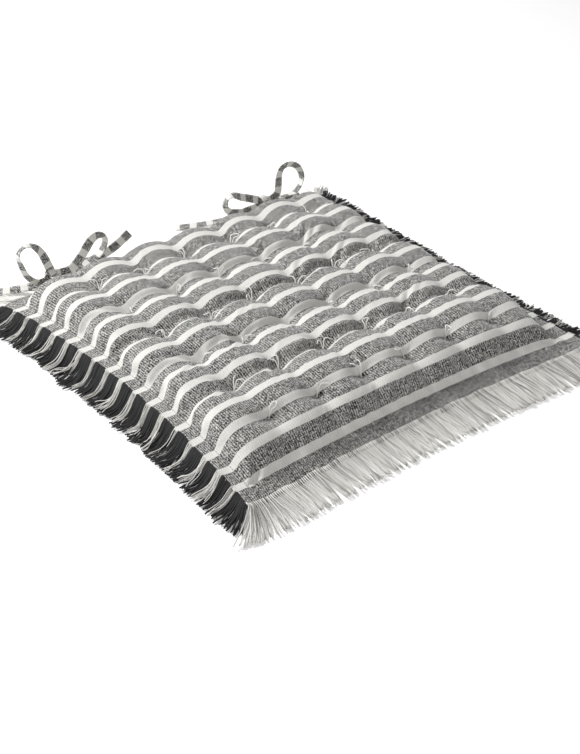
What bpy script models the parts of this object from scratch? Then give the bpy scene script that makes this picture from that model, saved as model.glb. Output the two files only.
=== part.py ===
"""Chair seat pad: two striped cotton covers sewn together round a wadding filling and tufted in a grid.

The covers end in a self-fringe on all four sides. Each rear corner has a tape tie, knotted in a bow,
that hinges where it leaves the seam. Metres, +Z up: X runs along the stripes, +Y points to the rear edge
with the ties, and the pad rests on Z = 0.
"""

import math

import bmesh
import bpy
from mathutils import Vector

# The woven cloth of both covers, corner to corner, and how the filling shapes its edges.
CLOTH_WIDTH = 0.440
CLOTH_DEPTH = 0.440
EDGE_PULL_IN = 0.010
CORNER_HEIGHT = 0.013
EDGE_LIFT = 0.012
COVER_THICKNESS = 0.0008
FLANGE_WIDTH = 0.012

# The padded body: puffs between the tufts on top, flat between them underneath.
PUFF_HEIGHT = 0.047
TUFT_TOP_HEIGHT = 0.034
TUFT_BOTTOM_HEIGHT = 0.008
SADDLE_SHARE = 0.7
SHOULDER_POWER = 0.75

# The grid of tufts. The first row or column stands this far inside the cloth's edge.
TUFT_COLUMNS = 6
TUFT_ROWS = 6
TUFT_MARGIN_SIDES = 0.0758
TUFT_MARGIN_ENDS = 0.0670
DIMPLE_HALF_WIDTH = 0.010

# Tufting thread: two legs through the pad, a short stitch underneath, a knot and two cut ends on top.
THREAD_RADIUS = 0.0006
THREAD_LEG_SPACING = 0.003
THREAD_KNOT_RADIUS = 0.0017
THREAD_END_REACH = 0.009
THREAD_END_RISE = 0.006
THREAD_END_BEND = 0.65

# Lockstitch along the edge: a needle thread on top and a bobbin thread underneath.
SEAM_THREAD_WIDTH = 0.0008
SEAM_THREAD_HEIGHT = 0.0005
SEAM_THREAD_OUTSET = 0.0015

# Fringe, measured outwards from the cloth's edge.
FRINGE_REACH_SIDES = 0.028
FRINGE_REACH_ENDS = 0.040
FRINGE_THICKNESS = 0.002
FRINGE_TIP_HEIGHT = 0.0025
FRINGE_STEPS = (0.0, 0.3, 0.6, 1.0)
FRINGE_FALL_POWER = 2.2

# Tape ties at the rear corners.
TAPE_WIDTH = 0.010
TAPE_THICKNESS = 0.001
TIE_STATION = 4
TIE_HINGE_OUTSET = 0.0015
TAB_SEAM_OVERLAP = 0.0005
BOW_KNOT_SIZE = (0.013, 0.010, 0.011)
BOW_KNOT_OFFSET = (0.0, 0.0235, -0.0025)
STEM_STEPS = (0.5, 0.9)
ROUTE_SPACING = 0.007

# Clearance between pieces that touch.
CLEARANCE = 0.0003

# Rings between the tufted field and the seam, as shares of that distance. The wadding ends at one of them.
SHOULDER_RINGS = (0.5, 0.85, 1.0)
WADDING_LAST_RING = 2

# Each bow is one tape. Its strands start and end in the knot, and their points, in millimetres from the
# knot's centre, are chosen by hand. Two vectors give the tape's width direction at the strand's two ends.
EDGE_ON = (0.5, 0.7, -0.5)
FACING = (-0.6, 0.2, 0.8)
LYING = (0.4, 0.9, 0.0)
REAR_LEFT_STRANDS = (
    # outer loop, standing up at the corner
    (
        EDGE_ON,
        EDGE_ON,
        ((0, 0, 2), (-7, 0, 23), (-13, 0, 35), (-20, 0, 42), (-27, 0, 45), (-35, 0, 43), (-39, 0, 36),
         (-37, 0, 26), (-33, 0, 14), (-27, 1, 4), (-18, 1, -3), (-7, 0, -4), (0, 0, -2)),
    ),
    # inner loop, folded over at its top
    (
        FACING,
        LYING,
        ((3, 0, 0), (12, 0, -1), (23, 0, -1), (35, 0, 7), (44, 0, 17), (52, 1, 25), (60, 2, 28),
         (68, 4, 25), (73, 5, 18), (70, 6, 8), (60, 5, 1), (42, 4, -4), (22, 3, -5), (3, 0, -3)),
    ),
    # inner tail, its end standing up
    (
        LYING,
        FACING,
        ((3, 2, -3), (20, 6, -6), (40, 8, -5), (60, 8, -3), (74, 7, 0), (86, 6, 5), (96, 5, 11),
         (105, 4, 17)),
    ),
    # outer tail, lying on the fringe
    (
        LYING,
        LYING,
        ((-3, 0, -3), (-14, 3, -8), (-26, 7, -9), (-38, 13, -10.5), (-50, 22, -13), (-62, 31, -15)),
    ),
)
REAR_RIGHT_STRANDS = (
    # inner loop, lying low with its upper strap facing forwards
    (
        FACING,
        EDGE_ON,
        ((-3, 0, 1), (-11, 0, 6), (-22, 0, 11), (-33, 0, 16), (-44, 1, 21), (-52, 2, 19), (-55, 2, 10),
         (-49, 1, 1), (-36, 0, -4), (-23, 0, -5), (-9, 0, -4), (-2, 0, -2)),
    ),
    # outer loop, standing up at the corner
    (
        EDGE_ON,
        EDGE_ON,
        ((3, 0, 0), (13, 0, 0), (21, 0, 5), (23, 0, 16), (24, 0, 28), (29, 0, 36), (39, 0, 38), (51, 1, 32),
         (59, 2, 20), (60, 3, 8), (54, 3, -1), (43, 3, -5), (29, 2, -5), (14, 1, -4), (3, 0, -2)),
    ),
    # inner tail, lying along the fringe
    (
        LYING,
        LYING,
        ((-3, 0, -3), (-20, -1, -7), (-40, 1, -9), (-57, 6, -10), (-71, 12, -11), (-84, 19, -12.5),
         (-96, 27, -14), (-106, 34, -15.5)),
    ),
    # outer tail, tucked between the pad and the fringe
    (
        LYING,
        LYING,
        ((3, 0, -3), (12, -3, -4.5), (24, -5, -5), (38, -5, -6), (52, -3, -7.5)),
    ),
)

COLOURS = {
    "cover": (0.42, 0.42, 0.41, 1.0),
    "wadding": (0.88, 0.87, 0.84, 1.0),
    "fringe_dark": (0.03, 0.03, 0.03, 1.0),
    "fringe_light": (0.80, 0.79, 0.75, 1.0),
    "thread": (0.85, 0.84, 0.80, 1.0),
    "tape": (0.35, 0.35, 0.34, 1.0),
}

half_width = CLOTH_WIDTH / 2
half_depth = CLOTH_DEPTH / 2
pitch_x = (CLOTH_WIDTH - 2 * TUFT_MARGIN_SIDES) / (TUFT_COLUMNS - 1)
pitch_y = (CLOTH_DEPTH - 2 * TUFT_MARGIN_ENDS) / (TUFT_ROWS - 1)


def clear_scene():
    for old in list(bpy.data.objects):
        bpy.data.objects.remove(old, do_unlink=True)


def make_material(name, colour, roughness=0.9):
    material = bpy.data.materials.new(name)
    material.use_nodes = True
    shader = material.node_tree.nodes["Principled BSDF"]
    shader.inputs["Base Color"].default_value = colour
    shader.inputs["Roughness"].default_value = roughness
    shader.inputs["Metallic"].default_value = 0.0
    return material


def add_object(name, mesh, material, parent=None, location=(0.0, 0.0, 0.0)):
    made = bpy.data.objects.new(name, mesh)
    bpy.context.scene.collection.objects.link(made)
    made.location = location
    made.parent = parent
    if not mesh.materials:
        mesh.materials.append(material)
    return made


def mesh_from(name, points, faces):
    mesh = bpy.data.meshes.new(name)
    mesh.from_pydata([tuple(p) for p in points], [], faces)
    mesh.validate()
    return mesh


# ---------------------------------------------------------------- the pad's shape


def pulled_in(x, y):
    """A point of the flat cloth, moved to where the stuffed pad holds it in plan."""
    u = x / half_width
    v = y / half_depth
    return (
        x - EDGE_PULL_IN * u * (1 - v * v),
        y - EDGE_PULL_IN * v * (1 - u * u),
    )


def flange_height(x, y):
    """Height of the plane between the two covers, lowest at the four corners."""
    u = x / half_width
    v = y / half_depth
    return CORNER_HEIGHT + EDGE_LIFT * (1 - u * u * v * v)


def nearness(offset, pitch, count):
    """1 on a tuft's line, 0 halfway to the next line and everywhere beyond the last one."""
    steps = offset / pitch + (count - 1) / 2
    if steps < -0.5 or steps > count - 0.5:
        return 0.0
    return math.cos(math.pi * steps) ** 2


def puff_share(x, y):
    """0 at a tuft, 1 at the middle of a puff, and a saddle between two tufts."""
    across = nearness(x, pitch_x, TUFT_COLUMNS)
    along = nearness(y, pitch_y, TUFT_ROWS)
    return 1 - (1 - SADDLE_SHARE) * (across + along) - (2 * SADDLE_SHARE - 1) * across * along


def shoulder(share):
    """How much of its height the pad still has at this share of the way from the field to the seam."""
    return (1 - share * share) ** SHOULDER_POWER if share < 1 else 0.0


class Plan:
    """The grid that all three layers share: (x, y) points of the flat cloth and triangles over them."""

    def __init__(self, rings):
        self.points = []
        self.shares = []
        self.triangles = []
        self.holes = []
        self.border = []
        self._border_index = {}
        self._add_cells()
        self.rings = [self.border]
        for share in SHOULDER_RINGS[:rings]:
            self._add_ring(share)
        if rings > len(SHOULDER_RINGS):
            self._add_ring(1.0, at_edge=True)

    def _add(self, x, y, share=0.0):
        self.points.append((x, y))
        self.shares.append(share)
        return len(self.points) - 1

    def _border_point(self, column_half, row_half):
        """A corner or side middle of a tuft's cell, shared with its neighbours."""
        key = (column_half, row_half)
        if key not in self._border_index:
            x = (column_half / 2 - TUFT_COLUMNS / 2) * pitch_x
            y = (row_half / 2 - TUFT_ROWS / 2) * pitch_y
            self._border_index[key] = self._add(x, y)
        return self._border_index[key]

    def _add_cells(self):
        for row in range(TUFT_ROWS):
            for column in range(TUFT_COLUMNS):
                self._add_cell(row, column)
        last_column = 2 * TUFT_COLUMNS
        last_row = 2 * TUFT_ROWS
        around = [(i, 0) for i in range(last_column)]
        around += [(last_column, i) for i in range(last_row)]
        around += [(last_column - i, last_row) for i in range(last_column)]
        around += [(0, last_row - i) for i in range(last_row)]
        self.border = [self._border_index[key] for key in around]

    def _add_cell(self, row, column):
        x, y = tuft_place(row, column)
        slot_x = THREAD_LEG_SPACING / 2 + THREAD_RADIUS + CLEARANCE
        slot_y = THREAD_RADIUS + CLEARANCE
        signs = ((-1, -1), (1, -1), (1, 1), (-1, 1))
        hole = [self._add(x + sx * slot_x, y + sy * slot_y) for sx, sy in signs]
        dimple = [self._add(x + sx * DIMPLE_HALF_WIDTH, y + sy * DIMPLE_HALF_WIDTH) for sx, sy in signs]
        middle_column = 2 * column + 1
        middle_row = 2 * row + 1
        corners = [self._border_point(middle_column + sx, middle_row + sy) for sx, sy in signs]
        middles = [
            self._border_point(middle_column, middle_row - 1),
            self._border_point(middle_column + 1, middle_row),
            self._border_point(middle_column, middle_row + 1),
            self._border_point(middle_column - 1, middle_row),
        ]
        self.holes.append(hole)
        for i in range(4):
            j = (i + 1) % 4
            self.triangles += [(hole[i], dimple[i], dimple[j]), (hole[i], dimple[j], hole[j])]
            self.triangles += [
                (dimple[i], corners[i], middles[i]),
                (dimple[i], middles[i], dimple[j]),
                (dimple[j], middles[i], corners[j]),
            ]

    def _add_ring(self, share, at_edge=False):
        ring = []
        for index in self.border:
            x, y = self.points[index]
            seam_x = x / (TUFT_COLUMNS / 2 * pitch_x) * (half_width - FLANGE_WIDTH)
            seam_y = y / (TUFT_ROWS / 2 * pitch_y) * (half_depth - FLANGE_WIDTH)
            if at_edge:
                seam_x *= half_width / (half_width - FLANGE_WIDTH)
                seam_y *= half_depth / (half_depth - FLANGE_WIDTH)
            ring.append(self._add(x + (seam_x - x) * share, y + (seam_y - y) * share, share))
        inner = self.rings[-1]
        for i in range(len(ring)):
            j = (i + 1) % len(ring)
            self.triangles += [(inner[i], ring[i], ring[j]), (inner[i], ring[j], inner[j])]
        self.rings.append(ring)


def tuft_place(row, column):
    return (
        (column - (TUFT_COLUMNS - 1) / 2) * pitch_x,
        (row - (TUFT_ROWS - 1) / 2) * pitch_y,
    )


def flange_stations():
    """Points of the flat cloth's edge that every ring repeats, counter-clockwise from the front left."""
    full = Plan(len(SHOULDER_RINGS) + 1)
    return [full.points[i] for i in full.rings[-1]]


def tie_edge_points():
    """The two stations on the rear edge where a tie leaves the seam, left and right."""
    step_x = CLOTH_WIDTH / (2 * TUFT_COLUMNS)
    return [(side * TIE_STATION * step_x, half_depth) for side in (-1, 1)]


def spread_for_tape(x, y, share):
    """Extra half gap between the covers, only at the seam and edge stations that hold a tie's tape."""
    if share < 1:
        return 0.0
    half_step = CLOTH_WIDTH / (4 * TUFT_COLUMNS)
    for tie_x, tie_y in tie_edge_points():
        if tie_y - y < FLANGE_WIDTH + half_step and abs(x - tie_x) < half_step:
            return TAPE_THICKNESS
    return 0.0


def cover_surfaces(x, y, share):
    """Heights of the two covers' inner faces, top and bottom, at this point of the cloth."""
    middle = flange_height(x, y)
    half_gap = CLEARANCE / 2 + spread_for_tape(x, y, share)
    puff = puff_share(x, y)
    top = TUFT_TOP_HEIGHT + (PUFF_HEIGHT - TUFT_TOP_HEIGHT) * puff - COVER_THICKNESS
    dimple = 1 - puff_share(*nearest_dimple(x, y))
    bottom = COVER_THICKNESS + TUFT_BOTTOM_HEIGHT * dimple
    rise = shoulder(share)
    return (
        middle + half_gap + (top - middle - half_gap) * rise,
        middle - half_gap - (middle - half_gap - bottom) * rise,
    )


def nearest_dimple(x, y):
    """The tuft whose slot holds this point, else a point with no dimple, so that the base stays flat."""
    for row in range(TUFT_ROWS):
        for column in range(TUFT_COLUMNS):
            tuft_x, tuft_y = tuft_place(row, column)
            if abs(x - tuft_x) < DIMPLE_HALF_WIDTH / 2 and abs(y - tuft_y) < DIMPLE_HALF_WIDTH / 2:
                return tuft_x, tuft_y
    return half_width, half_depth


def layer_mesh(name, plan, upper, lower):
    """A closed layer between two height functions, with a hole at each tuft and a rim round its edge."""
    count = len(plan.points)
    points = []
    for height in (upper, lower):
        for (x, y), share in zip(plan.points, plan.shares):
            plan_x, plan_y = pulled_in(x, y)
            points.append((plan_x, plan_y, height(x, y, share)))
    faces = [tuple(t) for t in plan.triangles]
    faces += [(a + count, c + count, b + count) for a, b, c in plan.triangles]
    for hole in plan.holes:
        faces += wall(hole, count, outwards=False)
    faces += wall(plan.rings[-1], count, outwards=True)
    return mesh_from(name, points, faces)


def wall(loop, count, outwards):
    """Two triangles for each side of a loop, between the upper and the lower surface."""
    faces = []
    for i, a in enumerate(loop):
        b = loop[(i + 1) % len(loop)]
        if not outwards:
            a, b = b, a
        faces += [(a, a + count, b + count), (a, b + count, b)]
    return faces


def make_layers(materials, parent):
    full = Plan(len(SHOULDER_RINGS) + 1)
    inner = Plan(WADDING_LAST_RING)

    def top_inner(x, y, share):
        return cover_surfaces(x, y, share)[0]

    def bottom_inner(x, y, share):
        return cover_surfaces(x, y, share)[1]

    layers = (
        ("top_cover", full, lambda *p: top_inner(*p) + COVER_THICKNESS, top_inner, "cover"),
        ("bottom_cover", full, bottom_inner, lambda *p: bottom_inner(*p) - COVER_THICKNESS, "cover"),
        (
            "wadding",
            inner,
            lambda *p: top_inner(*p) - CLEARANCE,
            lambda *p: bottom_inner(*p) + CLEARANCE,
            "wadding",
        ),
    )
    for name, plan, upper, lower, slot in layers:
        add_object(name, layer_mesh(name, plan, upper, lower), materials[slot], parent)


# ---------------------------------------------------------------- threads


def sweep(points, sections):
    """Points and faces of a closed tube through sections, lists of corner offsets, one for each point."""
    corners = len(sections[0])
    vertices = [p + offset for p, section in zip(points, sections) for offset in section]
    faces = []
    for i in range(len(points) - 1):
        for k in range(corners):
            a = i * corners + k
            b = i * corners + (k + 1) % corners
            faces += [(a, b, b + corners), (a, b + corners, a + corners)]
    faces.append(tuple(reversed(range(corners))))
    last = (len(points) - 1) * corners
    faces.append(tuple(range(last, last + corners)))
    return vertices, faces


def tube_mesh(name, points, radius, side=Vector((0, 1, 0))):
    """A four-sided tube. side is a direction that no part of the route runs along."""
    points = [Vector(p) for p in points]
    sections = []
    for i in range(len(points)):
        before = points[i] - points[max(i - 1, 0)]
        after = points[min(i + 1, len(points) - 1)] - points[i]
        tangent = (before.normalized() + after.normalized()).normalized()
        normal = side.cross(tangent).normalized()
        stretch = 1.0
        if 0 < i < len(points) - 1:
            stretch = 1 / max(0.5, before.normalized().dot(tangent))
        sections.append(
            [
                normal * radius * stretch + side * radius,
                side * radius - normal * radius * stretch,
                -normal * radius * stretch - side * radius,
                normal * radius * stretch - side * radius,
            ]
        )
    vertices, faces = sweep(points, sections)
    return mesh_from(name, vertices, faces)


def fix_normals(mesh):
    work = bmesh.new()
    work.from_mesh(mesh)
    bmesh.ops.recalc_face_normals(work, faces=work.faces)
    work.to_mesh(mesh)
    work.free()
    return mesh


def ball_mesh(name, size, centre=(0.0, 0.0, 0.0), subdivisions=1):
    work = bmesh.new()
    bmesh.ops.create_icosphere(work, subdivisions=subdivisions, radius=0.5)
    for vertex in work.verts:
        vertex.co = Vector(c * s for c, s in zip(vertex.co, size)) + Vector(centre)
    mesh = bpy.data.meshes.new(name)
    work.to_mesh(mesh)
    work.free()
    return mesh


def united(name, meshes):
    """One mesh: the Boolean union of closed meshes, each of which meets the first."""
    base = add_object(name + "_base", meshes[0], None)
    helpers = []
    for i, mesh in enumerate(meshes[1:]):
        helper = add_object(f"{name}_helper_{i}", mesh, None)
        helper.hide_render = True
        helpers.append(helper)
        union = base.modifiers.new(f"union_{i}", "BOOLEAN")
        union.operation = "UNION"
        union.object = helper
        union.solver = "MANIFOLD"
    bpy.context.view_layer.update()
    evaluated = base.evaluated_get(bpy.context.evaluated_depsgraph_get())
    result = bpy.data.meshes.new_from_object(evaluated)
    for made in [base] + helpers:
        bpy.data.objects.remove(made, do_unlink=True)
    result.name = name
    result.materials.clear()
    return result


def tuft_mesh():
    """One tufting thread, its origin where the cloth dips lowest on top."""
    leg = THREAD_LEG_SPACING / 2
    above = THREAD_RADIUS + CLEARANCE
    depth = TUFT_TOP_HEIGHT - TUFT_BOTTOM_HEIGHT
    below = -depth - above
    side = [
        (THREAD_END_REACH, 0.0, THREAD_END_RISE),
        ((THREAD_END_REACH + leg) / 2, 0.0, THREAD_END_RISE * THREAD_END_BEND),
        (leg, 0.0, above),
        (leg, 0.0, below),
    ]
    route = side + [(-x, y, z) for x, y, z in reversed(side)]
    thread = fix_normals(tube_mesh("tuft_thread_path", route, THREAD_RADIUS))
    size = (2 * leg + 2 * THREAD_KNOT_RADIUS, 2 * THREAD_KNOT_RADIUS, 2 * THREAD_KNOT_RADIUS)
    knot = ball_mesh("tuft_thread_knot", size, (0.0, 0.0, THREAD_KNOT_RADIUS + CLEARANCE))
    return united("tuft_thread", [thread, knot])


def make_tufts(materials, parent):
    mesh = tuft_mesh()
    for row in range(TUFT_ROWS):
        for column in range(TUFT_COLUMNS):
            x, y = pulled_in(*tuft_place(row, column))
            name = f"tuft_row{row + 1}_col{column + 1}"
            add_object(name, mesh, materials["thread"], parent, (x, y, TUFT_TOP_HEIGHT))


def flange_point(station, across):
    """A point midway between the covers. across is 0 on the seam and 1 on the cloth's edge."""
    x, y = station
    seam = (x * (half_width - FLANGE_WIDTH) / half_width, y * (half_depth - FLANGE_WIDTH) / half_depth)
    ends = []
    for px, py in (seam, station):
        plan_x, plan_y = pulled_in(px, py)
        ends.append(Vector((plan_x, plan_y, flange_height(px, py))))
    return ends[0].lerp(ends[1], across)


def ring_mesh(name, first, second, low, high):
    """A closed ring of four long faces. first and second give its inner and outer line."""
    points = []
    for inner, outer, bottom, top in zip(first, second, low, high):
        points += [
            inner + Vector((0, 0, bottom)),
            outer + Vector((0, 0, bottom)),
            outer + Vector((0, 0, top)),
            inner + Vector((0, 0, top)),
        ]
    faces = []
    count = len(first)
    for i in range(count):
        j = (i + 1) % count
        for k in range(4):
            m = (k + 1) % 4
            faces += [(4 * i + k, 4 * i + m, 4 * j + m), (4 * i + k, 4 * j + m, 4 * j + k)]
    return fix_normals(mesh_from(name, points, faces))


def make_seam_threads(materials, parent):
    stations = flange_stations()
    start = SEAM_THREAD_OUTSET / FLANGE_WIDTH
    end = (SEAM_THREAD_OUTSET + SEAM_THREAD_WIDTH) / FLANGE_WIDTH
    inner = [flange_point(s, start) for s in stations]
    outer = [flange_point(s, end) for s in stations]
    clear = [CLEARANCE / 2 + spread_for_tape(*s, 1.0) + COVER_THICKNESS + CLEARANCE for s in stations]
    for name, side in (("seam_needle_thread", 1), ("seam_bobbin_thread", -1)):
        near = [side * c for c in clear]
        far = [side * (c + SEAM_THREAD_HEIGHT) for c in clear]
        mesh = ring_mesh(name, inner, outer, near, far)
        add_object(name, mesh, materials["thread"], parent)


# ---------------------------------------------------------------- fringe


def fringe_mesh(name, stations, outwards, reach, root_top):
    """A strip that falls from the cloth's edge to the surface under the pad."""
    points = []
    for station in stations:
        edge = flange_point(station, 1.0)
        root = edge.z + root_top
        for share in FRINGE_STEPS:
            fallen = 1 - (1 - share) ** FRINGE_FALL_POWER
            top = root + (FRINGE_TIP_HEIGHT - root) * fallen
            place = edge + outwards * (CLEARANCE + reach * share)
            points += [(place.x, place.y, top), (place.x, place.y, top - FRINGE_THICKNESS)]
    row = 2 * len(FRINGE_STEPS)
    faces = []
    for i in range(len(stations) - 1):
        for k in range(len(FRINGE_STEPS) - 1):
            a = i * row + 2 * k
            b = a + row
            faces += [(a, b, b + 2), (a, b + 2, a + 2)]
            faces += [(a + 1, b + 3, b + 1), (a + 1, a + 3, b + 3)]
        a = i * row
        faces += [(a, a + 1, a + row + 1), (a, a + row + 1, a + row)]
        a = i * row + row - 2
        faces += [(a, a + row, a + row + 1), (a, a + row + 1, a + 1)]
    for a in (0, (len(stations) - 1) * row):
        for k in range(len(FRINGE_STEPS) - 1):
            b = a + 2 * k
            faces += [(b, b + 2, b + 3), (b, b + 3, b + 1)]
    return fix_normals(mesh_from(name, points, faces))


def make_fringes(materials, parent):
    stations = flange_stations()
    columns = 2 * TUFT_COLUMNS
    rows = 2 * TUFT_ROWS
    loop = stations + stations[:1]
    flush = CLEARANCE / 2 + COVER_THICKNESS
    below_tape = -TAPE_THICKNESS / 2 - CLEARANCE
    front = loop[: columns + 1]
    right = loop[columns : columns + rows + 1]
    rear = loop[columns + rows : 2 * columns + rows + 1]
    left = loop[2 * columns + rows :]
    sides = (
        ("fringe_front", front, (0, -1), FRINGE_REACH_ENDS, flush, "fringe_light"),
        ("fringe_right", right, (1, 0), FRINGE_REACH_SIDES, flush, "fringe_dark"),
        ("fringe_rear", rear, (0, 1), FRINGE_REACH_ENDS, below_tape, "fringe_light"),
        ("fringe_left", left, (-1, 0), FRINGE_REACH_SIDES, flush, "fringe_dark"),
    )
    for name, part, outwards, reach, root_top, slot in sides:
        mesh = fringe_mesh(name, part, Vector((*outwards, 0)), reach, root_top)
        add_object(name, mesh, materials[slot], parent)


# ---------------------------------------------------------------- ties


def smooth_route(points, spacing):
    """Points about spacing apart on a Catmull-Rom curve through the given points."""
    padded = [2 * points[0] - points[1]] + list(points) + [2 * points[-1] - points[-2]]
    route = []
    for p0, p1, p2, p3 in zip(padded, padded[1:], padded[2:], padded[3:]):
        steps = max(1, round((p2 - p1).length / spacing))
        for i in range(steps):
            t = i / steps
            route.append(
                0.5 * (2 * p1 + (p2 - p0) * t + (2 * p0 - 5 * p1 + 4 * p2 - p3) * t**2
                       + (3 * p1 - p0 - 3 * p2 + p3) * t**3)
            )
    route.append(points[-1])
    return route


def tape_mesh(name, route, first_width, last_width):
    """A flat tape along a route. Its width direction turns from the first one to the last one."""
    sections = []
    for i in range(len(route)):
        tangent = (route[min(i + 1, len(route) - 1)] - route[max(i - 1, 0)]).normalized()
        aim = first_width.lerp(last_width, i / (len(route) - 1))
        across = (aim - tangent * aim.dot(tangent)).normalized() * TAPE_WIDTH / 2
        through = tangent.cross(across).normalized() * TAPE_THICKNESS / 2
        sections.append([across + through, through - across, -across - through, across - through])
    vertices, faces = sweep(route, sections)
    return fix_normals(mesh_from(name, vertices, faces))


def make_tie(name, edge_station, strands, materials, root):
    """A tab held in the seam, and the free tape with its bow, which swings about the seam's edge."""
    station_x, station_y = edge_station
    seam_y = station_y - FLANGE_WIDTH
    seam = Vector((*pulled_in(station_x, seam_y), flange_height(station_x, seam_y)))
    edge = flange_point(edge_station, 1.0)
    hinge = Vector((edge.x, edge.y + TIE_HINGE_OUTSET, edge.z))
    half_tape = TAPE_THICKNESS / 2

    tab_ends = [
        Vector((edge.x, seam.y - TAB_SEAM_OVERLAP, seam.z)),
        Vector((edge.x, hinge.y - half_tape, edge.z)),
    ]
    tab_sections = []
    for end in tab_ends:
        across = Vector((1, 0, tape_slope(edge_station))) * TAPE_WIDTH / 2
        through = Vector((0, 0, half_tape))
        tab_sections.append([across + through, through - across, -across - through, across - through])
    vertices, faces = sweep(tab_ends, tab_sections)
    tab = fix_normals(mesh_from(name + "_tab", vertices, faces))
    add_object(name + "_tab", tab, materials["tape"], root)

    pivot = bpy.data.objects.new(name + "_pivot", None)
    bpy.context.scene.collection.objects.link(pivot)
    pivot.location = hinge
    knot_centre = Vector(BOW_KNOT_OFFSET)
    stem = [Vector((0, half_tape, 0)), Vector((0, 2 * TAPE_THICKNESS, 0))]
    stem += [knot_centre * step for step in STEM_STEPS]
    flat = Vector((1, 0, tape_slope(edge_station)))
    pieces = [ball_mesh(name + "_knot", BOW_KNOT_SIZE, knot_centre, subdivisions=2)]
    pieces.append(tape_mesh(name + "_stem", stem, flat, flat))
    for i, (first_width, last_width, points) in enumerate(strands):
        route = smooth_route([knot_centre + Vector(p) / 1000 for p in points], ROUTE_SPACING)
        pieces.append(tape_mesh(f"{name}_strand_{i}", route, Vector(first_width), Vector(last_width)))
    add_object(name, united(name, pieces), materials["tape"], pivot)


def tape_slope(edge_station):
    """How the cloth's edge slopes along X where a tie leaves it."""
    step = CLOTH_WIDTH / (2 * TUFT_COLUMNS)
    x, y = edge_station
    return (flange_height(x + step, y) - flange_height(x - step, y)) / (2 * step)


def make_ties(materials, root):
    left, right = tie_edge_points()
    make_tie("rear_left_tie", left, REAR_LEFT_STRANDS, materials, root)
    make_tie("rear_right_tie", right, REAR_RIGHT_STRANDS, materials, root)


def main():
    clear_scene()
    materials = {name: make_material(name, colour) for name, colour in COLOURS.items()}
    root = bpy.data.objects.new("seat_pad", None)
    bpy.context.scene.collection.objects.link(root)
    make_layers(materials, root)
    make_tufts(materials, root)
    make_seam_threads(materials, root)
    make_fringes(materials, root)
    make_ties(materials, root)


main()
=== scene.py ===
"""Looks of the chair seat pad: striped cotton covers over wadding, tufts, self-fringe and two tape bows."""

import math

import bpy
import numpy as np
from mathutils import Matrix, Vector


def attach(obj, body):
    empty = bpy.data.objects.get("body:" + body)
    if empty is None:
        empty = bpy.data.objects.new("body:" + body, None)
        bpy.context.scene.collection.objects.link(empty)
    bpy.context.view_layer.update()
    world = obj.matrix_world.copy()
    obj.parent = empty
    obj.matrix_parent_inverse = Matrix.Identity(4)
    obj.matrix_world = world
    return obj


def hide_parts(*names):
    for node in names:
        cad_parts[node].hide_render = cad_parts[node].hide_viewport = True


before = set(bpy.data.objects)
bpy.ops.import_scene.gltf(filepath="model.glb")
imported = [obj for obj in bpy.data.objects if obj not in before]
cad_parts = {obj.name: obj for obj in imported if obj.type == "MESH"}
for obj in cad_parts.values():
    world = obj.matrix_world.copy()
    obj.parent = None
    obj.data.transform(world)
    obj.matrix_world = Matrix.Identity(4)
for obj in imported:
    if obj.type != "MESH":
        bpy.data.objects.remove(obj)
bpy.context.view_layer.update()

# ---------------- sizes in metres

# A size that the CAD source names too has the same value there, but for two: FLANGE_WIDTH draws the seam
# where it is seen, and TAPE_THICKNESS makes the tape a little thicker.

CLOTH_WIDTH = 0.440
CLOTH_DEPTH = 0.440
EDGE_PULL_IN = 0.010
CORNER_HEIGHT = 0.013
EDGE_LIFT = 0.012
FLANGE_WIDTH = 0.016
TUFT_BOTTOM_HEIGHT = 0.008
SADDLE_SHARE = 0.7
SHOULDER_POWER = 0.75
TUFT_COLUMNS = 6
TUFT_ROWS = 6
TUFT_MARGIN_SIDES = 0.0758
TUFT_MARGIN_ENDS = 0.0670
FRINGE_REACH_SIDES = 0.028
FRINGE_REACH_ENDS = 0.040
TAPE_WIDTH = 0.010
TAPE_THICKNESS = 0.0011
TIE_STATION = 4
TIE_HINGE_OUTSET = 0.0015
BOW_KNOT_OFFSET = (0.0, 0.0235, -0.0025)
SEAM_THREAD_OUTSET = 0.0015
COVER_THICKNESS = 0.0008

# The woven pattern, measured over the flat cloth from its front edge.
EDGE_STRIP = 0.0035
GREY_BAND = 0.0165
WHITE_BAND = 0.008
BAND_PERIOD = GREY_BAND + WHITE_BAND

# How the pad lies: settled edges, sloping shoulders along them, and the heights of a puff and of a tuft.
EDGE_DROP_START = 0.09
EDGE_DROP_REACH = 0.11
RIGHT_EDGE_DROP = 0.0105
FRONT_EDGE_DROP = 0.0130
FRONT_EDGE_TILT = 0.0065
FRONT_SLOPE_START = 0.138
FRONT_SHOULDER_POWER = 1.55
RIGHT_SHOULDER_POWER = 1.30
FULL_PUFF_HEIGHT = 0.0530
PINCHED_HEIGHT = 0.0325
TUFT_SCATTER = 0.0011

# Woven cloth and tape.
WEFT_PITCH = 0.00115
WARP_PITCH = 0.0010
BAND_BLUR = 0.0002
TAPE_STRIPE_PERIOD = 0.020
TAPE_STITCH_LINE = 0.0038
TAPE_STITCH_PITCH = 0.0028
TAPE_POINT_SPACING = 0.0022
YARN_TWIST = 0.0022

# Threads.
THREAD_POINTS = 16
TUFT_THREAD_RADIUS = 0.00056
TUFT_LEG_OFFSET = 0.0008
LOOPED_TUFT_SHARE = 0.3
STITCH_PITCH = 0.0034
STITCH_GAP = 0.0008
STITCH_LIFT = (-0.0003, 0.00025, 0.0004, 0.0004, 0.00025, -0.0003)
STITCH_RADII = (0.0002, 0.00026, 0.0003, 0.0003, 0.00026, 0.0002)

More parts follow.
